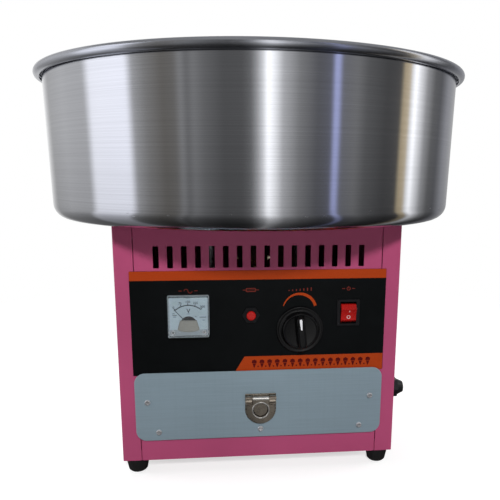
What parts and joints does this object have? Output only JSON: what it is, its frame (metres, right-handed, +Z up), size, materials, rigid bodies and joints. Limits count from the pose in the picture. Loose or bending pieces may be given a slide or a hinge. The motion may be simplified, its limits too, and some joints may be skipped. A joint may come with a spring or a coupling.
{
  "type": "cotton candy machine",
  "caption": "Counter-top cotton candy machine: steel cabinet with control panel and drawer, lift-off spun steel bowl, heated spinner head on a motor shaft.",
  "frame": {"origin": "on the surface the feet stand on, under the middle of the bowl and the cabinet", "axes": "+Z up along the spinner's axis, +X to the right of the control panel, -Y to the front where the drawer opens"},
  "size_m": [0.52, 0.52, 0.4626],
  "materials": {
    "pink_paint": "satin",
    "bowl_steel": "satin",
    "drawer_steel": "satin",
    "tray_steel": "satin",
    "zinc_sheet": "satin",
    "core_steel": "matte",
    "plated_steel": "satin",
    "nickel": "satin",
    "cast_alloy": "satin",
    "spun_alloy": "satin",
    "ring_brass": "satin",
    "copper_wire": "satin",
    "heater_sheath": "matte",
    "black_film": "satin",
    "black_plastic": "matte",
    "black_nylon": "satin",
    "black_bakelite": "gloss",
    "brown_bakelite": "matte",
    "black_rubber": "matte",
    "white_scale": "matte",
    "clear_cover": "gloss",
    "tan_plastic": "satin",
    "white_inlay": "satin",
    "red_plastic": "gloss",
    "needle_black": "matte",
    "carbon": "matte"
  },
  "bodies": {
    "cabinet": {"base_tray": "pink_paint", "left_side_panel": "pink_paint", "right_side_panel": "pink_paint", "front_panel": "pink_paint", "rear_panel": "pink_paint", "top_plate": "pink_paint", "cabinet_screws": "plated_steel", "rubber_feet": "black_rubber", "foot_screws": "plated_steel", "control_overlay": "black_film", "voltmeter_housing": "black_plastic", "voltmeter_scale": "white_scale", "voltmeter_window": "clear_cover", "voltmeter_coil_cover": "tan_plastic", "voltmeter_screws": "plated_steel", "breaker_body": "black_plastic", "breaker_nut": "black_plastic", "heat_regulator": "black_plastic", "switch_housing": "black_plastic", "gland_body": "black_nylon", "gland_dome_nut": "black_nylon", "gland_locknut": "black_nylon", "gland_seal": "black_rubber", "drawer_runners": "zinc_sheet", "bowl_locating_ring": "cast_alloy", "bowl_gasket": "black_rubber", "motor_upper_bell": "cast_alloy", "motor_lower_bell": "cast_alloy", "motor_stator": "core_steel", "motor_windings": "copper_wire", "motor_bearings": "plated_steel", "motor_hangers": "plated_steel", "motor_isolators": "black_rubber", "brush_bracket": "brown_bakelite", "brush_springs": "plated_steel"},
    "bowl": {"bowl": "bowl_steel"},
    "spinner": {"spinner_shaft": "plated_steel", "motor_rotor": "core_steel", "slip_ring_bush": "brown_bakelite", "slip_rings": "ring_brass", "head_base": "cast_alloy", "heating_element": "heater_sheath", "head_band": "spun_alloy", "head_cover": "spun_alloy", "head_screws": "plated_steel", "head_nut": "plated_steel"},
    "drawer": {"drawer_tray": "tray_steel", "drawer_front": "drawer_steel", "drawer_screws": "plated_steel", "handle_plate": "nickel", "handle_pin": "nickel"},
    "handle_flap": {"handle_flap": "nickel"},
    "temperature_knob": {"temperature_knob": "black_bakelite", "knob_pointer": "white_inlay", "heat_regulator_shaft": "plated_steel"},
    "switch_rocker": {"switch_rocker": "red_plastic"},
    "breaker_button": {"breaker_button": "red_plastic"},
    "voltmeter_needle": {"voltmeter_needle": "needle_black"},
    "brush_lower": {"brush_lower": "carbon"},
    "brush_upper": {"brush_upper": "carbon"}
  },
  "joints": [
    {"name": "bowl_lift", "type": "slide", "parent": "cabinet", "child": "bowl", "axis": [0, 0, 1], "range_m": [0, 0.12]},
    {"name": "spinner_spin", "type": "hinge", "parent": "cabinet", "child": "spinner", "pos_m": [0, 0, 0.3], "axis": [0, 0, 1], "continuous": true},
    {"name": "drawer_slide", "type": "slide", "parent": "cabinet", "child": "drawer", "axis": [0, -1, 0], "range_m": [0, 0.195]},
    {"name": "handle_swing", "type": "hinge", "parent": "drawer", "child": "handle_flap", "pos_m": [0, -0.1536, 0.0935], "axis": [-1, 0, 0], "range_deg": [0, 95]},
    {"name": "knob_turn", "type": "hinge", "parent": "cabinet", "child": "temperature_knob", "pos_m": [0.045, -0.15, 0.173], "axis": [0, 1, 0], "range_deg": [-129, 141]},
    {"name": "rocker_tilt", "type": "hinge", "parent": "cabinet", "child": "switch_rocker", "pos_m": [0.1007, -0.143, 0.1915], "axis": [-1, 0, 0], "range_deg": [0, 24]},
    {"name": "breaker_reset", "type": "slide", "parent": "cabinet", "child": "breaker_button", "axis": [0, -1, 0], "range_m": [0, 0.0035]},
    {"name": "needle_turn", "type": "hinge", "parent": "cabinet", "child": "voltmeter_needle", "pos_m": [-0.0803, -0.1504, 0.1823], "axis": [0, 1, 0], "range_deg": [0, 84]},
    {"name": "brush_lower_slide", "type": "slide", "parent": "cabinet", "child": "brush_lower", "axis": [1, 0, 0], "range_m": [0, 0.003], "stiffness_N_per_m": 60, "springref_m": -0.004, "deforming": ["brush_springs"]},
    {"name": "brush_upper_slide", "type": "slide", "parent": "cabinet", "child": "brush_upper", "axis": [1, 0, 0], "range_m": [0, 0.003], "stiffness_N_per_m": 60, "springref_m": -0.004}
  ]
}
